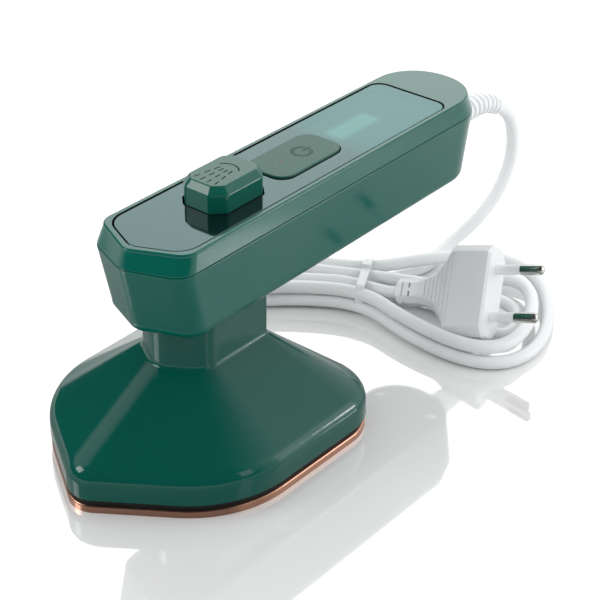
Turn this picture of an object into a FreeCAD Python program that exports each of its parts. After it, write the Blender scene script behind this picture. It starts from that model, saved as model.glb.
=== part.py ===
import FreeCAD, Part
import Sketcher
import math
import os
import re
from FreeCAD import Placement, Rotation, Vector

os.makedirs("parts", exist_ok=True)
doc = FreeCAD.newDocument("mini_craft_iron")

# Driving dimensions in millimetres. X is the width, the tip points along -Y, Z is up from the ironing face.
sizes = {
    # house-shaped outlines: half width in front and behind, tip, shoulder and back, corner roundings
    "sole_width": 45.5, "sole_back_width": 45.5, "sole_tip": 60.5, "sole_shoulder": 29.5, "sole_back": 47.5,
    "sole_tip_round": 10, "sole_shoulder_round": 40, "sole_back_round": 18.5,
    "neck_width": 15, "neck_back_width": 15, "neck_tip": 21, "neck_shoulder": 11.5, "neck_back": 21,
    "neck_tip_round": 9.5, "neck_shoulder_round": 10, "neck_back_round": 3,
    "under_width": 19.6, "under_back_width": 18.6, "under_tip": 29.5, "under_shoulder": 21.2,
    "under_back": 138.7, "under_tip_round": 7.5, "under_shoulder_round": 8.5, "under_back_round": 17,
    "crease_width": 20, "crease_back_width": 19.5, "crease_tip": 34.1, "crease_shoulder": 26.4,
    "crease_back": 143, "crease_tip_round": 6.5, "crease_shoulder_round": 8, "crease_back_round": 18.5,
    "deck_width": 19, "deck_back_width": 18.2, "deck_tip": 32.3, "deck_shoulder": 23.2,
    "deck_back": 140.7, "deck_tip_round": 5, "deck_shoulder_round": 6.5, "deck_back_round": 17.5,
    "panel_width": 16.6, "panel_back_width": 16.1, "panel_tip": 29.3, "panel_shoulder": 21.6,
    "panel_back": 119.6, "panel_tip_round": 5, "panel_shoulder_round": 9, "panel_back_round": 5,
    # head
    "sole_thick": 2.6, "sole_edge": 0.6, "steam_hole": 1.3, "band_thick": 2, "band_inset": 0.8,
    "band_lip": 3, "shell_over": 0.3, "shell_wall_top": 14, "shell_wall": 2.4, "shell_round": 7,
    "shell_edge": 0.8, "shell_inner_drop": 3.5, "neck_foot": 36.3, "neck_top": 52.7, "neck_roof": 3,
    "neck_fillet": 2, "block_thick": 9, "block_inset": 9.5, "boss_radius": 3.2, "boss_top": 22,
    "head_screw_side": 27, "head_screw_front": 4, "head_screw_back": 32,
    "chamber_depth": 2, "inlet_boss": 5, "inlet_boss_rise": 2.6, "inlet_rise": 7,
    "element_width": 7, "element_front": 7, "element_back": 37, "element_thick": 5.6,
    "clamp_reach": 15, "clamp_front": 16, "clamp_back": 24, "clamp_sheet": 1, "clamp_screw_side": 12,
    "thermostat_place": 22, "thermostat_radius": 8, "thermostat_thick": 5, "thermostat_cap": 6,
    "thermostat_top": 7, "tab_rise": 12, "fuse_front": 14, "fuse_length": 11, "fuse_place": 6,
    "fuse_radius": 2, "fuse_seat": 2.2,
    # swivel
    "spigot_radius": 10, "running_fit": 0.08, "bore_radius": 6, "retainer_radius": 14,
    "retainer_thick": 2, "washer_thick": 0.6, "stop_radius": 16.4, "stop_width": 3,
    "retainer_screw_circle": 8,
    # handle
    "under_height": 53.1, "crease_height": 78.5, "deck_height": 85.4, "handle_wall": 2,
    "floor_thick": 2.5, "under_round": 3.5, "under_straight": 3.6, "crease_edge": 0.4,
    "deck_straight": 1, "deck_edge": 0.7, "roof_thick": 4, "frame_wall": 3.9, "lip_gap": 2.7,
    "lip_drop": 2.2, "joint_height": 60, "rib_reach": 13.3,
    "panel_thick": 2, "panel_sink": 0.2, "panel_gap": 0.5, "panel_edge": 0.4, "ledge_width": 2,
    "carrier_thick": 1.2, "carrier_back": 72, "well_foot": 78.5, "well_wall": 1.2, "well_gap": 0.4,
    # buttons
    "spray_width": 9.5, "spray_front": 2, "spray_back": 28, "spray_cut": 4.2, "spray_corner": 2.2,
    "spray_wall_top": 91.7, "spray_top": 94.3, "spray_bevel": 2, "spray_edge": 0.8, "spray_wall": 1.6,
    "spray_foot": 77, "button_gap": 0.45, "power_width": 9.2, "power_front": 35, "power_back": 69,
    "power_round": 6.5, "power_top": 85.9, "power_edge": 0.5, "flange": 1, "flange_thick": 1.1,
    "lens_place": 45, "lens_radius": 0.8, "lens_foot": 0.6,
    # pump, tank and board
    "pump_radius": 7.2, "pump_place": 15, "pump_foot": 59, "pump_top": 75, "piston_radius": 5.2,
    "piston_thick": 4, "piston_rest": 2.5, "rod_radius": 2.2, "pump_ear": 10.5, "pump_ear_front": 17.2,
    "pump_ear_back": 22.2, "pump_ear_thick": 2, "pump_screw_side": 8.9, "pump_screw_place": 19.7,
    "inlet_height": 2.4, "outlet_height": 7, "nipple_reach": 2.5, "nipple_wall": 0.8,
    "coil_radius": 4, "coil_wire": 0.4,
    "tank_width": 13.8, "tank_front": 37, "tank_back": 118, "tank_foot": 58, "tank_top": 75,
    "tank_wall": 1.3, "tank_round": 3, "lid_thick": 1.5, "lid_rim": 1.2, "filler_place": 100,
    "filler_radius": 6.5, "filler_bore": 5, "stopper_radius": 4.7, "stopper_flange": 9,
    "board_foot": 78.1, "board_thick": 1.6, "board_width": 13.4, "board_front": 35.5, "board_back": 69,
    "board_screw_side": 12.3, "board_screw_front": 38, "board_screw_back": 66,
    "switch_width": 3, "switch_front": 49, "switch_back": 55, "switch_thick": 1.2,
    "plunger_radius": 1.7, "tube_radius": 2, "tube_bore": 1.3, "nipple_radius": 1, "nipple_bore": 0.6,
    "lead_radius": 0.8, "loose": 0.3,
    # fasteners
    "screw_shank": 1.2, "screw_head": 2.6, "screw_head_thick": 2, "small_shank": 0.8, "small_hole": 1.1,
    # cord end in the handle
    "cord_radius": 2.5, "relief_height": 66, "saddle_width": 9, "saddle_front": 128.5,
    "saddle_back": 133.5, "saddle_screw_side": 6.2, "cord_clamp_thick": 4.5,
    "relief_collar": 6.6, "relief_groove": 5.2, "relief_root": 5.5, "relief_end": 3.5,
    "relief_wall_end": 7.5, "rib_pitch": 3.3, "rib_depth": 0.8, "relief_bend": 60,
    # tie
    "tie_band": 3.2, "tie_reach": 12.7, "tie_foot": 0.05, "tie_top": 12.55, "tie_thick": 0.8,
    "tie_round": 3.3, "lock_front": 3, "lock_back": 6.4, "lock_top": 14,
    # plug, measured along the pins from its tail
    "collar_front": 2, "collar_groove": 1.3, "collar_groove_width": 0.8, "collar_inner": 4.3,
    "collar_reach": 6, "grip_start": 11.4, "grip_pitch": 1.75, "grip_width": 0.8, "grip_depth": 0.45,
    "slot_place": 4.2, "slot_width": 0.8, "slot_floor": 2.6, "slot_length": 2,
    "plug_face": 37.6, "pin_side": 9.05, "pin_root": 30, "pin_end": 56.6, "pin_radius": 2,
    "pin_core": 1.25, "sleeve_radius": 1.9, "sleeve_bore": 1.5, "sleeve_length": 10, "pin_nose": 1.5,
}
sheet = doc.addObject("Spreadsheet::Sheet", "Sizes")
for row, (name, number) in enumerate(sizes.items(), 1):
    sheet.set("A%d" % row, name)
    sheet.set("B%d" % row, str(number))
    sheet.setAlias("B%d" % row, name)
doc.recompute()
parts = []


# Helpers: every length is an expression over the sheet's names.
def bound(text):
    """The expression with each name pointed at the sheet."""
    def pointed(word):
        return "Sizes." + word.group() if word.group() in sizes else word.group()
    return re.sub(r"[a-z][a-z_]+", pointed, str(text))


def size(text):
    """The number that an expression gives now."""
    number = sheet.evalExpression(bound(text))
    return float(getattr(number, "Value", number))


def new_body(name):
    """An empty body that is written out under its name."""
    body = doc.addObject("PartDesign::Body", name)
    body.Label = name
    parts.append(body)
    return body


def flat_sketch(body, height, role="XY_Plane"):
    """A sketch parallel to one of the body's own planes."""
    sketch = body.newObject("Sketcher::SketchObject", body.Name + "_sketch")
    plane = [feature for feature in body.Origin.OriginFeatures if feature.Role == role][0]
    sketch.AttachmentSupport = (plane, [""])
    sketch.MapMode = "FlatFace"
    sketch.setExpression("AttachmentOffset.Base.z", bound(height))
    return sketch


def outline(body, height, corners, role="XY_Plane"):
    """A closed outline of straight sides and rounded corners, each corner given as x, y and rounding."""
    sketch = flat_sketch(body, height, role)
    count = len(corners)
    places = [Vector(size(x), size(y), 0) for x, y, rounding in corners]
    radii = [size(rounding) for x, y, rounding in corners]
    arcs = []
    ends = []
    for i, corner in enumerate(places):
        before = (places[i - 1] - corner).normalize()
        after = (places[(i + 1) % count] - corner).normalize()
        half = before.getAngle(after) / 2
        centre = corner + (before + after).normalize() * (radii[i] / math.sin(half))
        start = corner + before * (radii[i] / math.tan(half))
        end = corner + after * (radii[i] / math.tan(half))
        arcs.append(Part.Arc(start, centre + (corner - centre).normalize() * radii[i], end))
        ends.append((start, end))
    sketch.addGeometry(arcs, False)
    sides = [Part.LineSegment(ends[i][1], ends[(i + 1) % count][0]) for i in range(count)]
    sketch.addGeometry(sides, False)
    sketch.addGeometry([Part.Point(place) for place in places], True)
    rules = []
    for i in range(count):
        follower = (i + 1) % count
        leaving = 2 if sketch.getPoint(i, 2).distanceToPoint(ends[i][1]) < 1e-6 else 1
        arriving = 1 if sketch.getPoint(follower, 1).distanceToPoint(ends[follower][0]) < 1e-6 else 2
        rules.append(Sketcher.Constraint("Tangent", i, leaving, count + i, 1))
        rules.append(Sketcher.Constraint("Tangent", count + i, 2, follower, arriving))
        rules.append(Sketcher.Constraint("PointOnObject", 2 * count + i, 1, count + i))
        rules.append(Sketcher.Constraint("PointOnObject", 2 * count + i, 1, count + (i - 1) % count))
    sketch.addConstraint(rules)
    for i, (x, y, rounding) in enumerate(corners):
        for kind, text in (("DistanceX", x), ("DistanceY", y)):
            index = sketch.addConstraint(Sketcher.Constraint(kind, -1, 1, 2 * count + i, 1, size(text)))
            sketch.setExpression("Constraints[%d]" % index, bound(text))
        index = sketch.addConstraint(Sketcher.Constraint("Radius", i, radii[i]))
        sketch.setExpression("Constraints[%d]" % index, bound(rounding))
    return sketch


def circles(body, height, rounds, role="XY_Plane"):
    """A sketch of circles, each given as x, y and radius."""
    sketch = flat_sketch(body, height, role)
    for i, (x, y, radius) in enumerate(rounds):
        sketch.addGeometry(Part.Circle(Vector(size(x), size(y), 0), Vector(0, 0, 1), size(radius)), False)
        for kind, text in (("DistanceX", x), ("DistanceY", y)):
            index = sketch.addConstraint(Sketcher.Constraint(kind, -1, 1, i, 3, size(text)))
            sketch.setExpression("Constraints[%d]" % index, bound(text))
        index = sketch.addConstraint(Sketcher.Constraint("Radius", i, size(radius)))
        sketch.setExpression("Constraints[%d]" % index, bound(radius))
    return sketch


def house(name, inset="0", back=""):
    """The five corners of a house-shaped outline drawn in by an inset."""
    slope = f"atan(({name}_tip - {name}_shoulder) / {name}_width)"
    tip = f"({name}_tip - ({inset}) / cos({slope}))"
    side = f"({name}_width - ({inset}))"
    shoulder = f"({tip} - {side} * tan({slope}))"
    far = back or f"({name}_back - ({inset}))"
    behind = f"({name}_back_width - ({inset}))"
    rounds = [f"max(0.6; {name}_{corner}_round - ({inset}))" for corner in ("tip", "shoulder", "back")]
    return [("0", f"-{tip}", rounds[0]), (side, f"-{shoulder}", rounds[1]), (behind, far, rounds[2]),
            (f"-{behind}", far, rounds[2]), (f"-{side}", f"-{shoulder}", rounds[1])]


def rectangle(width, front, back, rounding):
    """The four corners of a rounded rectangle that is centred in X."""
    return [(width, front, rounding), (width, back, rounding), (f"-({width})", back, rounding),
            (f"-({width})", front, rounding)]


def clipped(width, front, back, cut, rounding):
    """The eight corners of a rectangle whose corners are cut off."""
    return [(f"{width} - {cut}", front, rounding), (width, f"{front} + {cut}", rounding),
            (width, f"{back} - {cut}", rounding), (f"{width} - {cut}", back, rounding),
            (f"-({width} - {cut})", back, rounding), (f"-({width})", f"{back} - {cut}", rounding),
            (f"-({width})", f"{front} + {cut}", rounding), (f"-({width} - {cut})", front, rounding)]


def corners_of(side, front, back):
    """Four places, left and right, in front and behind."""
    return [(side, front), (f"-{side}", front), (side, back), (f"-{side}", back)]


def raise_sketch(body, sketch, length, down=False):
    """A sketch raised into material."""
    pad = body.newObject("PartDesign::Pad", body.Name + "_pad")
    pad.Profile = sketch
    pad.Reversed = down
    pad.setExpression("Length", bound(length))
    sketch.Visibility = False
    doc.recompute()
    return pad


def cut_sketch(body, sketch, length):
    """A sketch cut upwards from its own height."""
    pocket = body.newObject("PartDesign::Pocket", body.Name + "_pocket")
    pocket.Profile = sketch
    pocket.Reversed = True
    pocket.setExpression("Length", bound(length))
    doc.recompute()
    return pocket


def loft(body, sketches, cut=False):
    """Straight sides drawn between outlines one above the other."""
    kind = "SubtractiveLoft" if cut else "AdditiveLoft"
    feature = body.newObject("PartDesign::" + kind, body.Name + "_loft")
    feature.Profile = sketches[0]
    feature.Sections = sketches[1:]
    feature.Ruled = True
    doc.recompute()
    return feature


def place(feature, x, y, z):
    for axis, text in (("x", x), ("y", y), ("z", z)):
        feature.setExpression("Placement.Base." + axis, bound(text))


def box(body, x, y, z, cut=False):
    """A box between pairs of x, y and z."""
    kind = "SubtractiveBox" if cut else "AdditiveBox"
    feature = body.newObject("PartDesign::" + kind, body.Name + "_box")
    for name, pair in (("Length", x), ("Width", y), ("Height", z)):
        feature.setExpression(name, bound(f"({pair[1]}) - ({pair[0]})"))
    place(feature, x[0], y[0], z[0])
    doc.recompute()
    return feature


def post(body, x, y, z, radius, cut=False):
    """An upright cylinder between a pair of heights."""
    kind = "SubtractiveCylinder" if cut else "AdditiveCylinder"
    feature = body.newObject("PartDesign::" + kind, body.Name + "_post")
    feature.setExpression("Radius", bound(radius))
    feature.setExpression("Height", bound(f"({z[1]}) - ({z[0]})"))
    place(feature, x, y, z[0])
    doc.recompute()
    return feature


def rod(body, x, y, z, radius, cut=False):
    """A cylinder that lies along Y between a pair of distances."""
    kind = "SubtractiveCylinder" if cut else "AdditiveCylinder"
    feature = body.newObject("PartDesign::" + kind, body.Name + "_rod")
    feature.setExpression("Radius", bound(radius))
    feature.setExpression("Height", bound(f"({y[1]}) - ({y[0]})"))
    feature.Placement = Placement(Vector(), Rotation(Vector(1, 0, 0), -90))
    place(feature, x, y[0], z)
    doc.recompute()
    return feature


def round_edges(body, radius, wanted):
    """A fillet on the edges that a test picks out of the body's last feature."""
    base = body.Tip
    names = ["Edge%d" % (i + 1) for i, edge in enumerate(base.Shape.Edges) if wanted(edge)]
    fillet = body.newObject("PartDesign::Fillet", body.Name + "_fillet")
    fillet.Base = (base, names)
    fillet.setExpression("Radius", bound(radius))
    doc.recompute()
    return fillet


def level(edge, height, slack=0.02):
    """Whether an edge lies wholly at a height."""
    bounds = edge.BoundBox
    return abs(bounds.ZMin - size(height)) < slack and abs(bounds.ZMax - size(height)) < slack


def bent_path(points, bend):
    """Straight runs joined by arcs, each arc as wide as the shorter run at its corner allows up to a bend."""
    spots = [Vector(*point) for point in points]
    pieces = []
    start = spots[0]
    for i in range(1, len(spots) - 1):
        before = (spots[i - 1] - spots[i])
        after = (spots[i + 1] - spots[i])
        turn = math.pi - before.getAngle(after)
        reach = min(0.45 * min(before.Length, after.Length), bend * math.tan(turn / 2))
        radius = reach / math.tan(turn / 2)
        before.normalize()
        after.normalize()
        inward = (before + after).normalize()
        centre = spots[i] + inward * (radius / math.cos(turn / 2))
        bend_start, bend_end = spots[i] + before * reach, spots[i] + after * reach
        pieces.append(Part.LineSegment(start, bend_start).toShape())
        pieces.append(Part.Arc(bend_start, centre - inward * radius, bend_end).toShape())
        start = bend_end
    pieces.append(Part.LineSegment(start, spots[-1]).toShape())
    return Part.Wire(pieces)


def tube_along(points, radius, bend, bore=0):
    """A round tube that follows a bent path."""
    path = bent_path(points, bend)
    start = Vector(*points[0])
    way = (Vector(*points[1]) - start).normalize()

    def swept(width):
        return path.makePipeShell([Part.Wire(Part.Circle(start, way, width).toShape())], True, False)
    return swept(radius).cut(swept(bore)) if bore else swept(radius)


def feature_of(name, shape):
    """A piece whose shape is worked out directly from the sheet."""
    feature = doc.addObject("Part::Feature", name)
    feature.Label = name
    feature.Shape = shape
    parts.append(feature)
    return feature


# Sole plate: a flat cast plate with a coppery coat and steam holes through it.
steam_holes = [("0", "-36"), ("9", "-30"), ("-9", "-30"), ("18", "-24"), ("-18", "-24"),
               ("26", "-17"), ("-26", "-17"), ("12", "-14"), ("-12", "-14")]
soleplate = new_body("soleplate")
raise_sketch(soleplate, outline(soleplate, "0", house("sole")), "sole_thick")
round_edges(soleplate, "sole_edge", lambda edge: level(edge, "sole_thick"))
cut_sketch(soleplate, circles(soleplate, "0", [(x, y, "steam_hole") for x, y in steam_holes]), "sole_thick")

# Heat band: the black heat-proof ring between the sole and the plastic shell.
band_top = "sole_thick + band_thick"
heat_band = new_body("heat_band")
raise_sketch(heat_band, outline(heat_band, "sole_thick", house("sole", "band_inset")), "band_thick")
raise_sketch(heat_band, outline(heat_band, band_top, house("sole", "shell_wall + loose")), "band_lip")
cut_sketch(heat_band, outline(heat_band, "sole_thick", house("sole", "block_inset - 0.4")),
           "band_thick + band_lip")
cut_sketch(heat_band, outline(heat_band, band_top, house("sole", "shell_wall + 2")), "band_lip")

# Head shell: moulded pyramid with an upright neck and the round spigot on which the head turns.
spigot_top = "under_height + floor_thick + washer_thick + 0.1"
block_top = "sole_thick + block_thick"
inner_foot = "shell_wall_top - shell_inner_drop"
inner_top = "neck_foot - 1.5"
head_screw_places = corners_of("head_screw_side", "head_screw_front", "head_screw_back")
head_shell = new_body("head_shell")
raise_sketch(head_shell, outline(head_shell, band_top, house("sole", "-shell_over")),
             f"shell_wall_top - ({band_top})")
loft(head_shell, [outline(head_shell, "shell_wall_top", house("sole", "-shell_over")),
                  outline(head_shell, "neck_foot", house("neck"))])
round_edges(head_shell, "shell_round", lambda edge: level(edge, "shell_wall_top"))
round_edges(head_shell, "shell_edge", lambda edge: level(edge, band_top))
raise_sketch(head_shell, outline(head_shell, "neck_foot", house("neck")), "neck_top - neck_foot")
round_edges(head_shell, "neck_fillet", lambda edge: level(edge, "neck_foot"))
cut_sketch(head_shell, outline(head_shell, band_top, house("sole", "shell_wall - shell_over")),
           f"{inner_foot} - ({band_top})")
loft(head_shell, [outline(head_shell, inner_foot, house("sole", "shell_wall - shell_over")),
                  outline(head_shell, inner_top, house("neck", "shell_wall"))], cut=True)
cut_sketch(head_shell, outline(head_shell, inner_top, house("neck", "shell_wall")),
           f"neck_top - neck_roof - ({inner_top})")
for x, y in head_screw_places:
    post(head_shell, x, y, (block_top, "boss_top"), "boss_radius")
post(head_shell, "0", "0", ("neck_top - 1", spigot_top), "spigot_radius")
post(head_shell, "0", "0", ("neck_top - neck_roof - 1", spigot_top), "bore_radius", cut=True)
for x, y in head_screw_places:
    post(head_shell, x, y, (block_top, "boss_top - 4"), "screw_shank + loose", cut=True)
retainer_screw_places = [
    (f"retainer_screw_circle * cos({turn} deg)", f"retainer_screw_circle * sin({turn} deg)")
    for turn in (30, 150, 270)]
for x, y in retainer_screw_places:
    post(head_shell, x, y, (f"{spigot_top} - 6", spigot_top), "small_hole", cut=True)

# Heater block: cast block with the steam chamber in its underside and the water inlet on top.
heater_block = new_body("heater_block")
raise_sketch(heater_block, outline(heater_block, "sole_thick", house("sole", "block_inset")), "block_thick")
chamber = [("0", "-42", "3"), ("30", "-22", "3"), ("30", "-9", "3"), ("-30", "-9", "3"), ("-30", "-22", "3")]
cut_sketch(heater_block, outline(heater_block, "sole_thick", chamber), "chamber_depth")
box(heater_block, ("-2.5", "2.5"), ("-10", "2.5"), ("sole_thick", "sole_thick + chamber_depth"), cut=True)
post(heater_block, "0", "0", (block_top, f"{block_top} + inlet_boss_rise"), "inlet_boss")
post(heater_block, "0", "0", (f"{block_top} + inlet_boss_rise", f"{block_top} + inlet_rise"), "nipple_radius")
post(heater_block, "0", "0", ("sole_thick", f"{block_top} + inlet_rise"), "nipple_bore", cut=True)
for x, y in head_screw_places:
    post(heater_block, x, y, ("sole_thick", block_top), "screw_shank + loose", cut=True)
    post(heater_block, x, y, ("sole_thick", "sole_thick + 3"), "screw_head + loose", cut=True)
clamp_screw_places = [("clamp_screw_side", "(clamp_front + clamp_back) / 2"),
                      ("-clamp_screw_side", "(clamp_front + clamp_back) / 2")]
for x, y in clamp_screw_places:
    post(heater_block, x, y, (f"{block_top} - 6", block_top), "screw_shank + loose", cut=True)


# Screws: one group of separate screws for each joint face.
def screws(name, places, seat, length, head, shank="screw_shank", head_thick="screw_head_thick", upward=True):
    """Pan-head screws whose heads bear on a seat and whose shanks point up or down."""
    body = new_body(name)
    raise_sketch(body, circles(body, seat, [(x, y, head) for x, y in places]), head_thick, down=upward)
    raise_sketch(body, circles(body, seat, [(x, y, shank) for x, y in places]), length, down=not upward)
    return body


head_screws = screws("head_screws", head_screw_places, "sole_thick + 3", "12", "screw_head")

# Heating element: flat heater held on the block by a sprung steel clamp.
element_top = f"{block_top} + element_thick"
clamp_top = f"{element_top} + clamp_sheet"
clamp_run = ("clamp_front", "clamp_back")
heating_element = new_body("heating_element")
box(heating_element, ("-element_width", "element_width"), ("element_front", "element_back"),
    (block_top, element_top))
element_clamp = new_body("element_clamp")
box(element_clamp, ("-clamp_reach", "clamp_reach"), clamp_run, (block_top, clamp_top))
box(element_clamp, ("-element_width - loose", "element_width + loose"), clamp_run,
    (block_top, element_top), cut=True)
for pair in (("element_width + loose + clamp_sheet", "clamp_reach"),
             ("-clamp_reach", "-element_width - loose - clamp_sheet")):
    box(element_clamp, pair, clamp_run, (f"{block_top} + clamp_sheet", clamp_top), cut=True)
for x, y in clamp_screw_places:
    post(element_clamp, x, y, (block_top, f"{block_top} + clamp_sheet"), "screw_shank + loose", cut=True)
screws("element_clamp_screws", clamp_screw_places, f"{block_top} + clamp_sheet", "6", "screw_head",
       upward=False)

# Thermostat and thermal fuse on the front of the block.
thermostat = new_body("thermostat")
thermostat_seat = (block_top, f"{block_top} + thermostat_thick")
thermostat_head = (f"{block_top} + thermostat_thick", f"{block_top} + thermostat_top")
post(thermostat, "0", "-thermostat_place", thermostat_seat, "thermostat_radius")
post(thermostat, "0", "-thermostat_place", thermostat_head, "thermostat_cap")
for x in ("3", "-5"):
    box(thermostat, (x, f"{x} + 2"), ("-thermostat_place - 0.4", "-thermostat_place + 0.4"),
        (f"{block_top} + thermostat_top", f"{block_top} + tab_rise"))
thermal_fuse = new_body("thermal_fuse")
box(thermal_fuse, ("fuse_front", "fuse_front + fuse_length"),
    ("-fuse_place - fuse_radius", "-fuse_place + fuse_radius"), (block_top, f"{block_top} + fuse_seat"))
fuse_barrel = thermal_fuse.newObject("PartDesign::AdditiveCylinder", "thermal_fuse_barrel")
fuse_barrel.setExpression("Radius", bound("fuse_radius"))
fuse_barrel.setExpression("Height", bound("fuse_length"))
fuse_barrel.Placement = Placement(Vector(), Rotation(Vector(0, 1, 0), 90))
place(fuse_barrel, "fuse_front", "-fuse_place", f"{block_top} + fuse_seat")

# Lower handle shell: trough with the swivel bore, screw bosses, tank pads, pump seat and cord saddle.
floor_top = "under_height + floor_thick"
sunk = f"{floor_top} - 0.5"
handle_screw_places = [("0", "-22"), ("13.3", "31"), ("-13.3", "31"), ("12.5", "124.5"), ("-12.5", "124.5")]
saddle = ("saddle_front", "saddle_back")
lower_housing = new_body("lower_housing")
raise_sketch(lower_housing, outline(lower_housing, "under_height", house("under")), "under_straight")
round_edges(lower_housing, "under_round", lambda edge: level(edge, "under_height"))
loft(lower_housing, [outline(lower_housing, "under_height + under_straight", house("under")),
                     outline(lower_housing, "crease_height", house("crease"))])
round_edges(lower_housing, "crease_edge", lambda edge: level(edge, "crease_height"))
loft(lower_housing, [outline(lower_housing, floor_top, house("under", "handle_wall")),
                     outline(lower_housing, "crease_height", house("crease", "handle_wall"))], cut=True)
for x, y in handle_screw_places:
    post(lower_housing, x, y, (sunk, "joint_height"), "3.5")
for y in ("52", "82", "108"):
    for pair in (("10", "13"), ("-13", "-10")):
        box(lower_housing, pair, (y, f"{y} + 2"), (sunk, "tank_foot"))
box(lower_housing, ("-pump_ear", "pump_ear"), ("pump_ear_front", "pump_ear_back"), (sunk, "pump_foot"))
box(lower_housing, ("-saddle_width", "saddle_width"), saddle, (sunk, "relief_height - 0.2"))
for pair in (("14.3", "17.4"), ("-17.4", "-14.3")):
    box(lower_housing, pair, ("-4", "-1.7"), (sunk, f"{spigot_top} + retainer_thick"))
post(lower_housing, "0", "0", ("under_height - 1", floor_top), "spigot_radius + running_fit", cut=True)
for x, y in handle_screw_places:
    post(lower_housing, x, y, ("under_height", "joint_height"), "screw_shank + loose", cut=True)
    post(lower_housing, x, y, ("under_height", "under_height + 3"), "screw_head + loose", cut=True)
post(lower_housing, "0", "filler_place", ("under_height", floor_top), "filler_radius + loose", cut=True)
post(lower_housing, "0", "filler_place", ("under_height", "under_height + 1.5"), "stopper_flange + loose",
     cut=True)
rod(lower_housing, "0", saddle, "relief_height", "cord_radius + loose", cut=True)
rod(lower_housing, "0", ("136", "144"), "relief_height", "relief_root + loose", cut=True)
middle_of_saddle = "(saddle_front + saddle_back) / 2"
cord_clamp_places = [("saddle_screw_side", middle_of_saddle), ("-saddle_screw_side", middle_of_saddle)]
pump_screw_places = [("pump_screw_side", "pump_screw_place"), ("-pump_screw_side", "pump_screw_place")]
for x, y in cord_clamp_places:
    post(lower_housing, x, y, ("relief_height - 8", "relief_height"), "screw_shank + loose", cut=True)
for x, y in pump_screw_places:
    post(lower_housing, x, y, (floor_top, "pump_foot"), "small_hole", cut=True)

# Top frame: the upper handle moulding that carries the panel on a ledge below its rim.
panel_top = "deck_height - panel_sink"
panel_foot = f"{panel_top} - panel_thick"
roof_foot = "deck_height - roof_thick"
rib_foot = "crease_height + 0.1"
top_frame = new_body("top_frame")
loft(top_frame, [outline(top_frame, "crease_height", house("crease")),
                 outline(top_frame, "deck_height - deck_straight", house("deck"))])
raise_sketch(top_frame, outline(top_frame, "deck_height - deck_straight", house("deck")), "deck_straight")
round_edges(top_frame, "deck_edge", lambda edge: level(edge, "deck_height"))
round_edges(top_frame, "crease_edge", lambda edge: level(edge, "crease_height"))
raise_sketch(top_frame, outline(top_frame, "crease_height", house("crease", "lip_gap")), "lip_drop",
             down=True)
cut_sketch(top_frame, outline(top_frame, "crease_height - lip_drop", house("crease", "frame_wall")),
           f"{roof_foot} - crease_height + lip_drop")
for x, y in handle_screw_places:
    post(top_frame, x, y, ("joint_height + 0.2", roof_foot), "3")
for pair in (("rib_reach", "18"), ("-18", "-rib_reach")):
    box(top_frame, pair, ("29.5", "32.5"), (rib_foot, roof_foot))
box(top_frame, ("-1.5", "1.5"), ("-31", "-22"), (rib_foot, roof_foot))
box(top_frame, ("-14", "14"), ("123", "136"), (roof_foot, "deck_height - 2.2"), cut=True)
for x, y in handle_screw_places[3:]:
    post(top_frame, x, y, (f"{roof_foot} - 1", "deck_height - 1.5"), "3")
cut_sketch(top_frame, outline(top_frame, roof_foot, house("panel", "ledge_width")), "roof_thick")
cut_sketch(top_frame, outline(top_frame, panel_foot, house("panel", "-panel_gap")), "roof_thick")
for x, y in handle_screw_places:
    post(top_frame, x, y, ("joint_height", "73"), "screw_shank + loose", cut=True)


# Glossy top panel with the two button openings; clear, and painted from behind in front of the tank.
def spray_outline(body, height, grow="0", corner="spray_corner"):
    """The cut-cornered outline of the spray button, grown by a width on every side."""
    return outline(body, height, clipped(f"spray_width + {grow}", f"spray_front - ({grow})",
                                         f"spray_back + {grow}", "spray_cut", corner))


def power_outline(body, height, grow, rounding="power_round"):
    """The rounded outline of the power button, grown by a width on every side."""
    return outline(body, height, rectangle(f"power_width + {grow}", f"power_front - ({grow})",
                                           f"power_back + {grow}", rounding))


clear_panel = new_body("clear_panel")
raise_sketch(clear_panel, outline(clear_panel, panel_foot, house("panel")), "panel_thick")
round_edges(clear_panel, "panel_edge", lambda edge: level(edge, panel_top))
cut_sketch(clear_panel, spray_outline(clear_panel, panel_foot, "button_gap"), "3")
cut_sketch(clear_panel, power_outline(clear_panel, panel_foot, "button_gap"), "3")

# Button frame: the opaque carrier bonded under the panel, which guides the spray button and holds the board.
frame_foot = f"{panel_foot} - carrier_thick"
board_top = "board_foot + board_thick"
board_screw_places = corners_of("board_screw_side", "board_screw_front", "board_screw_back")
button_frame = new_body("button_frame")
carrier = house("panel", "ledge_width + 0.1", back="carrier_back")
raise_sketch(button_frame, outline(button_frame, frame_foot, carrier), "carrier_thick")
raise_sketch(button_frame, spray_outline(button_frame, "well_foot", "(well_gap + well_wall)", "1.5"),
             f"{frame_foot} - well_foot + 0.2")
for x, y in board_screw_places:
    post(button_frame, x, y, (board_top, f"{frame_foot} + 0.2"), "1.8")
cut_sketch(button_frame, spray_outline(button_frame, "well_foot", "well_gap"), "6")
cut_sketch(button_frame, power_outline(button_frame, frame_foot, "(flange + 0.2)"), "3")
for x, y in board_screw_places:
    post(button_frame, x, y, (board_top, f"{board_top} + 2.4"), "small_shank + 0.2", cut=True)

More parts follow.
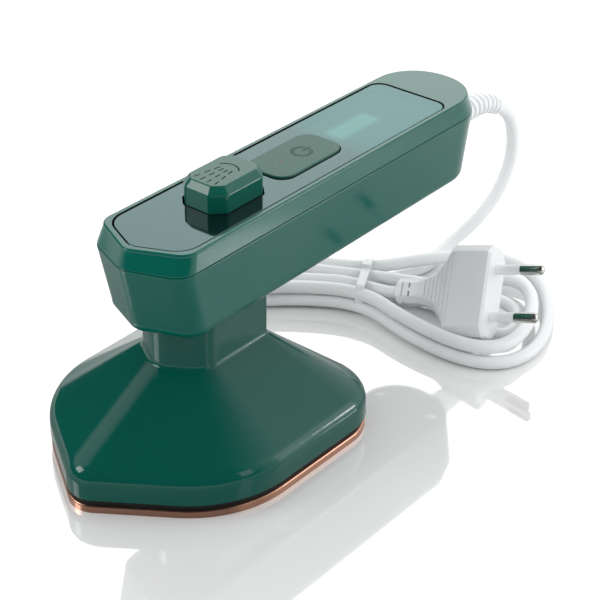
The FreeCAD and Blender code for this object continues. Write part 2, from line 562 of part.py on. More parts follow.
# Spray button: tall hollow key with cut corners and a bevelled top.
spray_button = new_body("spray_button")
raise_sketch(spray_button, spray_outline(spray_button, "spray_foot"), "spray_wall_top - spray_foot")
spray_face = clipped("spray_width - spray_bevel", "spray_front + spray_bevel", "spray_back - spray_bevel",
                     "spray_cut * 0.7", "spray_corner")
loft(spray_button, [spray_outline(spray_button, "spray_wall_top"),
                    outline(spray_button, "spray_top", spray_face)])
round_edges(spray_button, "spray_edge", lambda edge: level(edge, "spray_top"))
round_edges(spray_button, "spray_edge", lambda edge: level(edge, "spray_wall_top"))
spray_hollow = clipped("spray_width - spray_wall", "spray_front + spray_wall", "spray_back - spray_wall",
                       "spray_cut - 0.6", "0.8")
cut_sketch(spray_button, outline(spray_button, "spray_foot", spray_hollow),
           "spray_wall_top - spray_wall - spray_foot")

# Power button: low plate with a flange that keeps it under the panel, and a light pipe through it.
power_foot = f"{panel_foot} - 0.1 - flange_thick"
power_button = new_body("power_button")
raise_sketch(power_button, power_outline(power_button, power_foot, "flange"), "flange_thick")
raise_sketch(power_button, power_outline(power_button, f"{power_foot} + 1", "0", "power_round - button_gap"),
             f"power_top - ({power_foot}) - 1")
round_edges(power_button, "power_edge", lambda edge: level(edge, "power_top"))
post(power_button, "0", "lens_place", (power_foot, "power_top"), "lens_radius + 0.1", cut=True)
indicator_lens = new_body("indicator_lens")
post(indicator_lens, "0", "lens_place", (power_foot, "power_top"), "lens_radius")
post(indicator_lens, "0", "lens_place", (f"{power_foot} - lens_foot", power_foot), "2 * lens_radius")

# Circuit board with its parts, switch and switch plunger under the power button.
circuit_board = new_body("circuit_board")
box(circuit_board, ("-board_width", "board_width"), ("board_front", "board_back"), ("board_foot", board_top))
box(circuit_board, ("-9.8", "9.8"), ("31", "board_front + 0.5"), ("board_foot", board_top))
for x, y in board_screw_places:
    post(circuit_board, x, y, ("board_foot", board_top), "small_shank + 0.2", cut=True)
screws("board_screws", board_screw_places, "board_foot", "3.6", "1.6", shank="small_shank", head_thick="1")
board_components = new_body("board_components")
box(board_components, ("-8", "-3"), ("56", "61"), (board_top, f"{board_top} + 0.9"))
for y in ("58", "62"):
    box(board_components, ("2", "5.2"), (y, f"{y} + 1.6"), (board_top, f"{board_top} + 0.7"))
box(board_components, ("-1", "1"), ("lens_place - 0.8", "lens_place + 0.8"),
    (board_top, f"{board_top} + 0.6"))
power_switch = new_body("power_switch")
box(power_switch, ("-switch_width", "switch_width"), ("switch_front", "switch_back"),
    (board_top, f"{board_top} + switch_thick"))
switch_middle = "(switch_front + switch_back) / 2"
post(power_switch, "0", switch_middle, (f"{board_top} + 0.2", f"{board_top} + switch_thick"),
     "plunger_radius + 0.1", cut=True)
switch_plunger = new_body("switch_plunger")
post(switch_plunger, "0", switch_middle, (f"{board_top} + 0.8", power_foot), "plunger_radius")

# Pump: cylinder on the seat, piston rod pushed by the spray button, and the coil that lifts it again.
pump_ears = ("pump_ear_front", "pump_ear_back")
nipple_end = "pump_radius + nipple_wall + nipple_reach"
inlet_level = "pump_foot + inlet_height"
outlet_level = "pump_foot + outlet_height"
button_roof = "spray_wall_top - spray_wall"
pump_body = new_body("pump_body")
post(pump_body, "0", "pump_place", ("pump_foot", "pump_top"), "pump_radius")
box(pump_body, ("-pump_ear", "pump_ear"), pump_ears, ("pump_foot", "pump_foot + pump_ear_thick"))
box(pump_body, ("-3", "3"), ("pump_place - pump_radius - nipple_wall", "pump_place"),
    ("pump_foot + 4", "pump_foot + 10"))
box(pump_body, ("-3", "3"), ("pump_place", "pump_place + pump_radius + nipple_wall"),
    ("pump_foot", "pump_foot + 5"))
front_run = (f"pump_place - ({nipple_end})", "pump_place")
back_run = ("pump_place", f"pump_place + {nipple_end}")
rod(pump_body, "0", front_run, outlet_level, "nipple_radius")
rod(pump_body, "0", back_run, inlet_level, "nipple_radius")
post(pump_body, "0", "pump_place", ("pump_foot + 1.5", "pump_top - 1.5"), "piston_radius + 0.05", cut=True)
post(pump_body, "0", "pump_place", ("pump_top - 2", "pump_top"), "rod_radius + 0.1", cut=True)
rod(pump_body, "0", front_run, outlet_level, "nipple_bore", cut=True)
rod(pump_body, "0", back_run, inlet_level, "nipple_bore", cut=True)
for x, y in pump_screw_places:
    post(pump_body, x, y, ("pump_foot", "pump_foot + pump_ear_thick"), "small_hole", cut=True)
screws("pump_screws", pump_screw_places, "pump_foot + pump_ear_thick", "5", "1.5", shank="small_shank",
       head_thick="1.2", upward=False)
pump_plunger = new_body("pump_plunger")
piston_foot = "pump_top - piston_rest - piston_thick"
post(pump_plunger, "0", "pump_place", (piston_foot, "pump_top - piston_rest"), "piston_radius")
post(pump_plunger, "0", "pump_place", (piston_foot, button_roof), "rod_radius")
pump_spring = new_body("pump_spring")
coil = pump_spring.newObject("PartDesign::AdditiveHelix", "pump_spring_coil")
wire = flat_sketch(pump_spring, "0", "XZ_Plane")
wire_place = Vector(size("coil_radius"), size("pump_top + coil_wire"), 0)
wire.addGeometry(Part.Circle(wire_place, Vector(0, 0, 1), size("coil_wire")), False)
coil.Profile = wire
coil.ReferenceAxis = (wire, ["V_Axis"])
coil.Mode = "height-turns-angle"
coil.setExpression("Height", bound(f"{button_roof} - pump_top - 2 * coil_wire"))
coil.Turns = 7
pump_spring.setExpression("Placement.Base.y", bound("pump_place"))


# Tank in the rear of the handle, with its lid, its outlet and the filler stopper underneath.
def tank_outline(body, height, inset, rounding):
    """The tank's outline, drawn in by an inset."""
    return outline(body, height, rectangle(f"tank_width - {inset}", f"tank_front + {inset}",
                                           f"tank_back - {inset}", rounding))


water_tank = new_body("water_tank")
raise_sketch(water_tank, tank_outline(water_tank, "tank_foot", "0", "tank_round"), "tank_top - tank_foot")
cut_sketch(water_tank, tank_outline(water_tank, "tank_foot + tank_wall", "tank_wall", "tank_round - 1"),
           "tank_top - tank_foot")
post(water_tank, "0", "filler_place", ("under_height + 1.7", "tank_foot + 0.5"), "filler_radius")
post(water_tank, "0", "filler_place", ("under_height", "tank_foot + tank_wall"), "filler_bore", cut=True)
tank_nipple = "tank_front - nipple_reach - 0.3"
rod(water_tank, "0", (tank_nipple, "tank_front"), inlet_level, "nipple_radius")
rod(water_tank, "0", (tank_nipple, "tank_front + tank_wall"), inlet_level, "nipple_bore", cut=True)
tank_lid = new_body("tank_lid")
raise_sketch(tank_lid, tank_outline(tank_lid, "tank_top", "0", "tank_round"), "lid_thick")
raise_sketch(tank_lid, tank_outline(tank_lid, "tank_top", "(tank_wall + 0.2)", "tank_round - lid_rim"),
             "2", down=True)
cut_sketch(tank_lid, tank_outline(tank_lid, "tank_top - 2", "(tank_wall + 0.2 + lid_rim)", "0.8"), "2")
filler_plug = new_body("filler_plug")
flange_rise = "under_height + 1.5"
post(filler_plug, "0", "filler_place", ("under_height + 0.2", flange_rise), "stopper_flange")
post(filler_plug, "0", "filler_place", (flange_rise, "tank_foot + 1"), "stopper_radius")
box(filler_plug, ("-2.5", "2.5"), ("filler_place + 6", "filler_place + 8.6"),
    ("under_height - 0.6", "under_height + 0.4"))

# Swivel parts above the handle's floor.
washer_run = (floor_top, f"{floor_top} + washer_thick")
retainer_run = (spigot_top, f"{spigot_top} + retainer_thick")
swivel_washer = new_body("swivel_washer")
post(swivel_washer, "0", "0", washer_run, "retainer_radius - 0.5")
post(swivel_washer, "0", "0", washer_run, "spigot_radius + loose", cut=True)
swivel_retainer = new_body("swivel_retainer")
post(swivel_retainer, "0", "0", retainer_run, "retainer_radius")
box(swivel_retainer, ("-stop_width / 2", "stop_width / 2"), ("0", "stop_radius"), retainer_run)
post(swivel_retainer, "0", "0", retainer_run, "bore_radius", cut=True)
for x, y in retainer_screw_places:
    post(swivel_retainer, x, y, retainer_run, "small_hole", cut=True)
screws("retainer_screws", retainer_screw_places, f"{spigot_top} + retainer_thick", "7", "1.7",
       shank="small_shank", head_thick="0.6", upward=False)
screws("handle_screws", handle_screw_places, "under_height + 3", "16", "screw_head")

# Water tubes and leads.
centre = size("pump_place")
tube_start = size("pump_radius + nipple_wall")
inlet, outlet = size(inlet_level), size(outlet_level)
tube, hole, lead = size("tube_radius"), size("tube_bore"), size("lead_radius")
block_inlet = size(f"{block_top} + inlet_boss_rise")
inlet_route = [(0, centre + tube_start, inlet), (0, size("tank_front"), inlet)]
outlet_route = [(0, centre - tube_start, outlet), (0, 0, outlet), (0, 0, block_inlet)]
tube_bend = 3
feature_of("inlet_tube", tube_along(inlet_route, tube, tube_bend, hole))
feature_of("outlet_tube", tube_along(outlet_route, tube, tube_bend, hole))


def both_sides(points):
    """The same lead on the left and on the right."""
    lead_bend = 3
    return Part.makeCompound([
        tube_along([(side * x, y, z) for x, y, z in points], lead, lead_bend) for side in (1, -1)])


board = size("board_foot")
element = block_inlet + 1.5
feature_of("head_leads", both_sides([(3.6, 0, 61.5), (3.6, 0, element), (3.6, 7, element)]))
feature_of("handle_leads", both_sides([
    (3.6, 0, 61.8), (3.6, 0, 68), (8.8, 5, 68), (8.8, 26, 68), (5, 32.2, 70), (5, 32.2, board)]))
feature_of("supply_leads", both_sides([
    (1.3, 128.2, 66), (1.3, 123, 66), (5.4, 120.6, 56.8), (8.6, 112, 56.8), (8.6, 33.4, 56.8),
    (8.6, 33.4, board)]))

# Cord end inside the handle, its clamp and the clamp's screws.
clamp_roof = "relief_height + cord_clamp_thick"
inner_cord = new_body("inner_cord")
rod(inner_cord, "0", ("saddle_front - 0.3", "135"), "relief_height", "cord_radius")
cord_clamp = new_body("cord_clamp")
box(cord_clamp, ("-saddle_width", "saddle_width"), saddle, ("relief_height + 0.2", clamp_roof))
rod(cord_clamp, "0", saddle, "relief_height", "cord_radius + loose", cut=True)
for x, y in cord_clamp_places:
    post(cord_clamp, x, y, ("relief_height", clamp_roof), "screw_shank + loose", cut=True)
screws("cord_clamp_screws", cord_clamp_places, clamp_roof, "11", "2.2", upward=False)

# Strain relief: flexible ribbed sleeve that droops as it leaves the back of the handle.
height = size("relief_height")
relief_route = [(0, 135, height), (0, 160, height), (0, 170, height - 2.1), (0, 176.5, height - 5.8)]
relief_line = bent_path(relief_route, size("relief_bend"))
relief_length = relief_line.Length
spot_gap = 0.05
relief_spots = relief_line.discretize(Distance=spot_gap)


def relief_ring(distance, radius):
    """A circle square to the sleeve's centre line at a distance from its inner end."""
    index = min(len(relief_spots) - 2, round(distance / spot_gap))
    ahead = relief_spots[index + 1] - relief_spots[index]
    return Part.Wire(Part.Circle(relief_spots[index], ahead, radius).toShape())


collar, groove = size("relief_collar"), size("relief_groove")
root, end = size("relief_root"), size("relief_end")
wall_end, pitch, depth = size("relief_wall_end"), size("rib_pitch"), size("rib_depth")
collar_thick = 1.3
rings = [relief_ring(0, collar), relief_ring(collar_thick, collar),
         relief_ring(collar_thick + spot_gap, groove), relief_ring(wall_end, groove)]
distance = wall_end
while distance + pitch < relief_length:
    thick = root - (root - end) * (distance - wall_end) / (relief_length - wall_end)
    rings += [relief_ring(distance + spot_gap, thick), relief_ring(distance + 0.55 * pitch, thick - 0.1),
              relief_ring(distance + 0.6 * pitch, thick - depth),
              relief_ring(distance + 0.98 * pitch, thick - depth)]
    distance += pitch
end_way = (Vector(*relief_route[-1]) - Vector(*relief_route[-2])).normalize()
rings.append(relief_ring(distance + spot_gap, end))
rings.append(Part.Wire(Part.Circle(Vector(*relief_route[-1]), end_way, end - 0.1).toShape()))
feature_of("strain_relief", Part.makeLoft(rings, True, True))

# Bundled cord: turns drawn in at the waist by a tie, laid as lobes on its right and left, in two layers.
cord_radius = size("cord_radius")
waist = Vector(-9.5, 106.8, 0)
lie = math.radians(28)
step = 6.02
outer, inner = 1.5 * step, 0.5 * step
low, high = 2.55, 8.05
lift = 0.95
softness = 0.06
climb_from, climb_over = 0.42, 0.5
# each lobe: side, reach, half width and skew on its first and second side, start and end place, end shift
lobes = [
    (-1, 80, 15, 15, 0.5, 0.5, (outer, low), (-outer, low), 0),
    (1, 71.1, 32.74, 24.78, 0.002, 0.058, (-outer, low), (outer, high), -6.37),
    (-1, 80, 15, 15, 0.5, 0.5, (outer, high), (-outer, high), 0),
    (1, 64.9, 31.38, 17.05, 0.065, 0.172, (-outer, high), (inner, low), -5.4),
    (-1, 73, 9.8, 9.8, 0.5, 0.5, (inner, low), (-inner, low), 0),
    (1, 59.84, 9.67, 0.86, 1.003, 0.768, (-inner, low), (inner, high), -8.77),
    (-1, 73, 9.8, 9.8, 0.5, 0.5, (inner, high), (-inner, high), 0),
]


def ease(share):
    return (1 - math.cos(math.pi * share)) / 2


def lobe_point(lobe, share):
    """A point of one lobe at a share of its way round."""
    side, reach, first, second, skew_first, skew_second, start, end, shift = lobe
    turn = math.pi * share
    eased = ease(share)
    width = first + (second - first) * eased
    skew = skew_first + (skew_second - skew_first) * eased
    bulge = math.sin(2 * turn) - skew * math.sin(4 * turn)
    if side > 0:
        bulge *= 1 - math.exp(-(math.sin(turn) / softness) ** 2)
    along = side * reach * math.sin(turn)
    across = start[0] + (end[0] - start[0]) * eased - side * width * bulge + shift * math.sin(turn) ** 4
    climb = ease(min(1, max(0, (share - climb_from) / climb_over)))
    up = start[1] + (end[1] - start[1]) * climb + lift * math.cos(turn) ** 6
    return waist + Vector(along * math.cos(lie) - across * math.sin(lie),
                          along * math.sin(lie) + across * math.cos(lie), up)


def heading(lobe, share):
    return (lobe_point(lobe, min(1, share + 0.001)) - lobe_point(lobe, max(0, share - 0.001))).normalize()


# plug axes: wide, thick and along the pins; it leans on the turns
plug_along = Vector(0.946, 0.172, 0.274).normalize()
plug_thick = Vector(-0.049, -0.760, 0.648)
plug_wide = plug_thick.cross(plug_along).normalize()
plug_thick = plug_along.cross(plug_wide)
plug_tail = Vector(9.58, 106.22, 10.63)
cord_start = Vector(-7.2, 127, low)
start_way = Vector(-0.2588, -0.9659, 0)
straight = 2 * cord_radius
stations = [(cord_start + start_way * straight, start_way)]
near_waist = 0.045
for k, lobe in enumerate(lobes):
    shares = [i / 8 for i in range(8)]
    if lobe[0] > 0:
        shares = [0, near_waist] + shares[1:] + [1 - near_waist]
    for share in shares:
        if share or not k:
            way = heading(lobe, share)
        else:
            way = (heading(lobes[k - 1], 1) + heading(lobe, 0)).normalize()
        stations.append((lobe_point(lobe, share), way))
leaving = lie + 0.122
stations.append((lobe_point(lobes[-1], 1), Vector(math.cos(leaving), math.sin(leaving), 0)))
cord_finish = plug_tail - plug_along * size("collar_front")
stations.append((cord_finish - plug_along * straight, plug_along))


def double_arc(start, start_heading, finish, finish_heading):
    """Two arcs that join two points with given headings."""
    chord = finish - start
    both = start_heading + finish_heading
    spread = 2 * (1 - start_heading.dot(finish_heading))
    if spread < 1e-6:
        reach = chord.Length ** 2 / (2 * chord.dot(both))
    else:
        reach = (math.sqrt(chord.dot(both) ** 2 + spread * chord.dot(chord)) - chord.dot(both)) / spread
    middle = (start + finish + (start_heading - finish_heading) * reach) * 0.5
    middle_way = ((finish - finish_heading * reach) - (start + start_heading * reach)).normalize()
    pieces = []
    for begin, way, stop in ((start, start_heading, middle), (middle, middle_way, finish)):
        line = stop - begin
        sideways = line - way * line.dot(way)
        if sideways.Length < 1e-4:
            pieces.append(Part.LineSegment(begin, stop).toShape())
            continue
        sideways.normalize()
        radius = line.dot(line) / (2 * line.dot(sideways))
        centre = begin + sideways * radius
        half = (begin + stop) * 0.5 - centre
        pieces.append(Part.Arc(begin, centre + half.normalize() * radius, stop).toShape())
    return pieces


runs = [Part.LineSegment(cord_start, stations[0][0]).toShape()]
for (here, way), (there, next_way) in zip(stations, stations[1:]):
    runs += double_arc(here, way, there, next_way)
runs.append(Part.LineSegment(stations[-1][0], cord_finish).toShape())
hank_line = Part.Wire(runs)
hank_section = Part.Wire(Part.Circle(cord_start, start_way, cord_radius).toShape())
feature_of("cord_hank", hank_line.makePipeShell([hank_section], True, False))
print("bundled cord length %.0f" % hank_line.Length)

# Free cord: from the strain relief down to the floor and into the bundle.
free_route = [(0, 176.5, 60.2), (0, 184.9, 55.42), (0, 190, 46), (0, 191.2, 35.8), (0, 188, 26.2),
              (0, 180.6, 18), (-1.5, 169, 10.8), (-5, 156, 4.6), tuple(cord_start - start_way * 15),
              tuple(cord_start)]
widest_bend = 200
feature_of("free_cord", tube_along(free_route, cord_radius, widest_bend))

# Tie round the waist of the bundle, with its little lock on top.
cord_tie = new_body("cord_tie")


def tie_outline(inset):
    reach, foot, top = f"tie_reach - {inset}", f"tie_foot + {inset}", f"tie_top - {inset}"
    rounding = f"tie_round - {inset}"
    corners = [(reach, foot, rounding), (reach, top, rounding), (f"-({reach})", top, rounding),
               (f"-({reach})", foot, rounding)]
    return outline(cord_tie, "-tie_band / 2", corners, "YZ_Plane")


raise_sketch(cord_tie, tie_outline("0"), "tie_band")
cut_sketch(cord_tie, tie_outline("tie_thick"), "tie_band")
box(cord_tie, ("-tie_band / 2", "tie_band / 2"), ("lock_front", "lock_back"),
    ("tie_top - tie_thick", "lock_top"))
cord_tie.Placement = Placement(waist, Rotation(Vector(0, 0, 1), math.degrees(lie)))

# Plug: moulded body with a flared grip, two pins and their insulating sleeves.
plug_place = Placement(plug_tail, Rotation(plug_wide, plug_thick, plug_along, "ZXY"))
face = size("plug_face")
# each section: distance from the tail, half width, half thickness and corner cut
plug_sections = [
    (-size("collar_front"), 3.9, 3.9, 2.4), (-0.8, 4.9, 4.9, 2.4), (8, 4.9, 4.9, 2.4), (12, 5.9, 5.5, 2.4),
    (15.5, 8.2, 6, 3.4), (18.5, 11.8, 6.4, 3.4), (21.6, 17.65, 6.85, 3.4), (face - 1, 17.65, 6.85, 3.4),
    (face, 16.8, 6, 3.4)]
plug_body = new_body("plug_body")
loft(plug_body, [
    outline(plug_body, str(distance), clipped(str(wide), str(-thick), str(thick), str(cut), "1"))
    for distance, wide, thick, cut in plug_sections])
ring = ("collar_groove", "collar_groove + collar_groove_width")
across_collar = ("-collar_reach", "collar_reach")
for pair in (("collar_inner", "collar_reach"), ("-collar_reach", "-collar_inner")):
    box(plug_body, pair, across_collar, ring, cut=True)
    box(plug_body, across_collar, pair, ring, cut=True)


def section_at(distance, column):
    """A measure of the plug between two of its sections."""
    for lower, upper in zip(plug_sections, plug_sections[1:]):
        if lower[0] <= distance <= upper[0]:
            share = (distance - lower[0]) / (upper[0] - lower[0])
            return lower[column] + (upper[column] - lower[column]) * share


grip_count = 7
widest_groove = 13.5
for rib in range(grip_count):
    distance = size("grip_start") + size("grip_pitch") * rib
    floor = section_at(distance, 2) - size("grip_depth")
    wide = min(section_at(distance, 1) - 2, widest_groove)
    for pair in ((str(floor), str(floor + 2)), (str(-floor - 2), str(-floor))):
        box(plug_body, (str(-wide), str(wide)), pair, (str(distance), f"{distance} + grip_width"), cut=True)
for near in ("-2.6", "0.6"):
    box(plug_body, (near, f"{near} + slot_length"), ("slot_floor", "collar_reach"),
        ("slot_place", "slot_place + slot_width"), cut=True)
pin_places = [("pin_side", "0"), ("-pin_side", "0")]
sleeve_end = "plug_face + sleeve_length"
for x, y in pin_places:
    post(plug_body, x, y, ("pin_root", "plug_face + 0.4"), "sleeve_bore + 0.05", cut=True)
plug_pins = new_body("plug_pins")
raise_sketch(plug_pins, circles(plug_pins, "pin_root", [(x, y, "pin_core") for x, y in pin_places]),
             f"{sleeve_end} - pin_root")
raise_sketch(plug_pins, circles(plug_pins, sleeve_end, [(x, y, "pin_radius") for x, y in pin_places]),
             f"pin_end - ({sleeve_end})")
round_edges(plug_pins, "pin_nose", lambda edge: level(edge, "pin_end"))
pin_sleeves = new_body("pin_sleeves")
raise_sketch(pin_sleeves, circles(pin_sleeves, "plug_face", [(x, y, "sleeve_radius") for x, y in pin_places]),
             "sleeve_length")
cut_sketch(pin_sleeves, circles(pin_sleeves, "plug_face", [(x, y, "sleeve_bore") for x, y in pin_places]),
           "sleeve_length")
for body in (plug_body, plug_pins, pin_sleeves):
    body.Placement = plug_place

# Every piece is checked and written out.
doc.recompute()
for feature in doc.Objects:
    if "Invalid" in feature.State or "Error" in feature.State:
        print("problem", feature.Name, feature.State)
for part in parts:
    shape = part.Shape
    good = not shape.isNull() and shape.isValid() and shape.Volume > 0
    bounds = shape.optimalBoundingBox(True, False)
    print("%-22s %s solids %d volume %.0f x %.1f %.1f y %.1f %.1f z %.1f %.1f" % (
        part.Label, "ok" if good else "BAD", len(shape.Solids), shape.Volume, bounds.XMin, bounds.XMax,
        bounds.YMin, bounds.YMax, bounds.ZMin, bounds.ZMax))
    shape.exportStep("parts/%s.step" % part.Label)
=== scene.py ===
import math

import bpy
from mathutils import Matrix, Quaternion, Vector


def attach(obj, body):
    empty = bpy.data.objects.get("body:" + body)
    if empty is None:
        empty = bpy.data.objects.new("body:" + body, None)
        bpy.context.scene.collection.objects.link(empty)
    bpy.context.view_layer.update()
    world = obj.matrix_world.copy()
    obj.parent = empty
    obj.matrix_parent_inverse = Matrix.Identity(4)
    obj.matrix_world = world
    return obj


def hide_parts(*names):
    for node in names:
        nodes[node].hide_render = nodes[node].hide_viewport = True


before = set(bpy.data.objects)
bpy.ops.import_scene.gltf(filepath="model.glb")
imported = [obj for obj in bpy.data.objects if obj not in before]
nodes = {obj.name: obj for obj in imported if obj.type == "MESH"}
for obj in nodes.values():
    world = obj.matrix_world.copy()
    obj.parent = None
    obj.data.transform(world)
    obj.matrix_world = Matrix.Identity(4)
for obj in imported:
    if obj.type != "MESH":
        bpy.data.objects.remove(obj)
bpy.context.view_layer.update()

# Camera: it looks down on the iron from the right of its tip, through a long lens, so that level edges
# of the iron run nearly parallel in the picture.
aim = Vector((0.01974, 0.03103, 0.0456))
azimuth = math.radians(38.8)
elevation = math.radians(30.8)
tilt = math.radians(0.66)
towards_camera = Vector((
    math.sin(azimuth) * math.cos(elevation), -math.cos(azimuth) * math.cos(elevation), math.sin(elevation)))
camera_data = bpy.data.cameras.new("camera")
camera_data.lens = 112.9
camera_data.clip_start = 0.01
camera = bpy.data.objects.new("camera", camera_data)
camera.rotation_mode = "QUATERNION"
camera_distance = 0.63606
camera.location = aim + towards_camera * camera_distance
camera.rotation_quaternion = towards_camera.to_track_quat("Z", "Y") @ Quaternion((0, 0, 1), tilt)
bpy.context.scene.collection.objects.link(camera)
bpy.context.scene.camera = camera


# Cord: two-core round flex in white vinyl, one unbroken length. It leaves the strain relief, falls to
# the surface, and is laid up in a bundle drawn in by a tie. Its far end goes into the moulded plug.
class Signal:
    """A value in a material that can be used in sums and products."""

    def __init__(self, finish, socket):
        self.finish = finish
        self.socket = socket

    def combine(self, operation, first, second):
        return self.finish.node("ShaderNodeMath", {"operation": operation}, {0: first, 1: second})

    def __add__(self, other):
        return self.combine("ADD", self, other)

    __radd__ = __add__

    def __sub__(self, other):
        return self.combine("SUBTRACT", self, other)

    def __rsub__(self, other):
        return self.combine("SUBTRACT", other, self)

    def __mul__(self, other):
        return self.combine("MULTIPLY", self, other)

    __rmul__ = __mul__

    def __truediv__(self, other):
        return self.combine("DIVIDE", self, other)

    def __pow__(self, other):
        return self.combine("POWER", self, other)

    def __mod__(self, other):
        return self.combine("FLOORED_MODULO", self, other)

    def __abs__(self):
        return self.combine("ABSOLUTE", self, 0)

    def __gt__(self, other):
        return self.combine("GREATER_THAN", self, other)

    def __lt__(self, other):
        return self.combine("LESS_THAN", self, other)

    def __and__(self, other):
        return self.combine("MINIMUM", self, other)

    def __or__(self, other):
        return self.combine("MAXIMUM", self, other)


class Finish:
    """A material built round one surface shader."""

    def __init__(self, name, colour, roughness, **constants):
        self.material = bpy.data.materials.new(name)
        self.material.use_nodes = True
        self.tree = self.material.node_tree
        self.surface = self.tree.nodes["Principled BSDF"]
        self.surface.inputs["Base Color"].default_value = (*colour, 1)
        self.surface.inputs["Roughness"].default_value = roughness
        for socket, value in constants.items():
            self.surface.inputs[socket.replace("_", " ")].default_value = value

    def node(self, kind, settings, inputs):
        """Adds a node of a type with its settings, and the values or links of its sockets."""
        made = self.tree.nodes.new(kind)
        for key, value in settings.items():
            if key != "output":
                setattr(made, key, value)
        for socket, value in inputs.items():
            self.join(value, made.inputs[socket])
        return Signal(self, made.outputs[settings.get("output", 0)])

    def join(self, value, socket):
        if isinstance(value, Signal):
            self.tree.links.new(value.socket, socket)
        else:
            socket.default_value = value

    def feed(self, socket, value):
        self.join(value, self.surface.inputs[socket])

    def place(self):
        """The point of the piece that is shaded, in metres."""
        return self.node("ShaderNodeTexCoord", {"output": "Object"}, {})

    def axis(self, letter):
        return self.node("ShaderNodeSeparateXYZ", {"output": letter}, {0: self.place()})

    def speckle(self, scale):
        """An even noise between 0 and 1 over the piece."""
        return self.node("ShaderNodeTexNoise", {"output": "Fac"},
                         {"Vector": self.place(), "Scale": scale, "Detail": 2.0})

    def mix(self, share, first, second):
        """A colour between two others."""
        return self.node("ShaderNodeMix", {"data_type": "RGBA", "output": 2}, {0: share, 6: first, 7: second})

    def clamp(self, value):
        return self.node("ShaderNodeClamp", {}, {0: value})

    def relief(self, height, strength, distance):
        """Bumps on the surface from a height between 0 and 1."""
        self.feed("Normal", self.node("ShaderNodeBump", {}, {
            "Strength": strength, "Distance": distance, "Height": height}))

    def coat(self, *names):
        for name in names:
            mesh = nodes[name].data if isinstance(name, str) else name.data
            mesh.materials.clear()
            mesh.materials.append(self.material)


grain_scale = 2600
grain_depth = 0.0002


def moulded(name, colour, shade, roughness, grain, **constants):
    """Moulded plastic: a faint change of shade and gloss, and a fine grain on its surface."""
    finish = Finish(name, colour, roughness, **constants)
    cloud = finish.speckle(60)
    finish.feed("Base Color", finish.mix(cloud, (*colour, 1), (*shade, 1)))
    finish.feed("Roughness", finish.speckle(300) * 0.08 + (roughness - 0.04))
    finish.relief(finish.speckle(grain_scale), grain, grain_depth)
    return finish


plastic_index = 1.5
white_vinyl = moulded("white_vinyl", (0.84, 0.86, 0.87), (0.81, 0.83, 0.84), 0.38, 0.06, IOR=plastic_index)
cord_radius = 0.0025
route = [
    (0, 0.1765, 0.0602), (0, 0.1849, 0.05542), (0, 0.19, 0.046), (0, 0.1912, 0.0358), (0, 0.188, 0.0262),
    (0, 0.1806, 0.018), (-0.0015, 0.169, 0.0108), (-0.005, 0.156, 0.0046), (-0.0033, 0.1415, 0.00255),
    (-0.0072, 0.127, 0.00255)]
waist = Vector((-0.0095, 0.1068, 0))
lie = math.radians(28)
step = 0.00602
outer, inner = 1.5 * step, 0.5 * step
low, high = 0.00255, 0.00805
# each lobe: side, reach, half width and skew on its first and second side, start, end, shift of its tip
lobes = [
    (-1, 0.080, 0.015, 0.015, 0.5, 0.5, (outer, low), (-outer, low), 0),
    (1, 0.0711, 0.03274, 0.02478, 0.002, 0.058, (-outer, low), (outer, high), -0.00637),
    (-1, 0.080, 0.015, 0.015, 0.5, 0.5, (outer, high), (-outer, high), 0),
    (1, 0.0649, 0.03138, 0.01705, 0.065, 0.172, (-outer, high), (inner, low), -0.0054),
    (-1, 0.073, 0.0098, 0.0098, 0.5, 0.5, (inner, low), (-inner, low), 0),
    (1, 0.05984, 0.00967, 0.00086, 1.003, 0.768, (-inner, low), (inner, high), -0.00877),
    (-1, 0.073, 0.0098, 0.0098, 0.5, 0.5, (inner, high), (-inner, high), 0),
]


waist_reach = 0.06
climb_start, climb_share = 0.42, 0.5
waist_rise = 0.00095


def ease(share):
    """A share from 0 to 1 that starts and ends gently."""
    return (1 - math.cos(math.pi * share)) / 2


def lobe_point(lobe, share):
    """A point of one lobe of the bundle at a share of its way round."""
    side, reach, first, second, skew_first, skew_second, start, end, shift = lobe
    turn = math.pi * share
    width = first + (second - first) * ease(share)
    skew = skew_first + (skew_second - skew_first) * ease(share)
    bulge = math.sin(2 * turn) - skew * math.sin(4 * turn)
    if side > 0:
        bulge *= 1 - math.exp(-(math.sin(turn) / waist_reach) ** 2)
    across = start[0] + (end[0] - start[0]) * ease(share) - side * width * bulge + shift * math.sin(turn) ** 4
    climb = ease(min(1, max(0, (share - climb_start) / climb_share)))
    up = start[1] + (end[1] - start[1]) * climb + waist_rise * math.cos(turn) ** 6
    along = side * reach * math.sin(turn)
    return waist + Vector((
        along * math.cos(lie) - across * math.sin(lie), along * math.sin(lie) + across * math.cos(lie), up))


cord_points = [Vector(point) for point in route]
into_bundle = Vector((-0.2588, -0.9659, 0))
cord_points.append(cord_points[-1] + into_bundle * 0.005)
turns_per_lobe = 20
for lobe in lobes:
    cord_points += [lobe_point(lobe, (i + 0.5) / turns_per_lobe) for i in range(turns_per_lobe)]
plug_tail = Vector((0.00958, 0.10622, 0.01063))
plug_along = Vector((0.946, 0.172, 0.274)).normalized()
cord_points += [plug_tail - plug_along * gap for gap in (0.007, 0.0045, 0.002)]


def tube_curve(name, points, radius):
    """A round cord as one smooth curve through its control points."""
    data = bpy.data.curves.new(name, "CURVE")
    data.dimensions = "3D"
    data.bevel_depth = radius
    data.bevel_resolution = 6
    data.resolution_u = 8
    data.use_fill_caps = True
    spline = data.splines.new("NURBS")
    spline.points.add(len(points) - 1)
    for control, point in zip(spline.points, points):
        control.co = (*point, 1)
    spline.order_u = 3
    spline.use_endpoint_u = True
    curve = bpy.data.objects.new(name, data)
    bpy.context.scene.collection.objects.link(curve)
    return curve


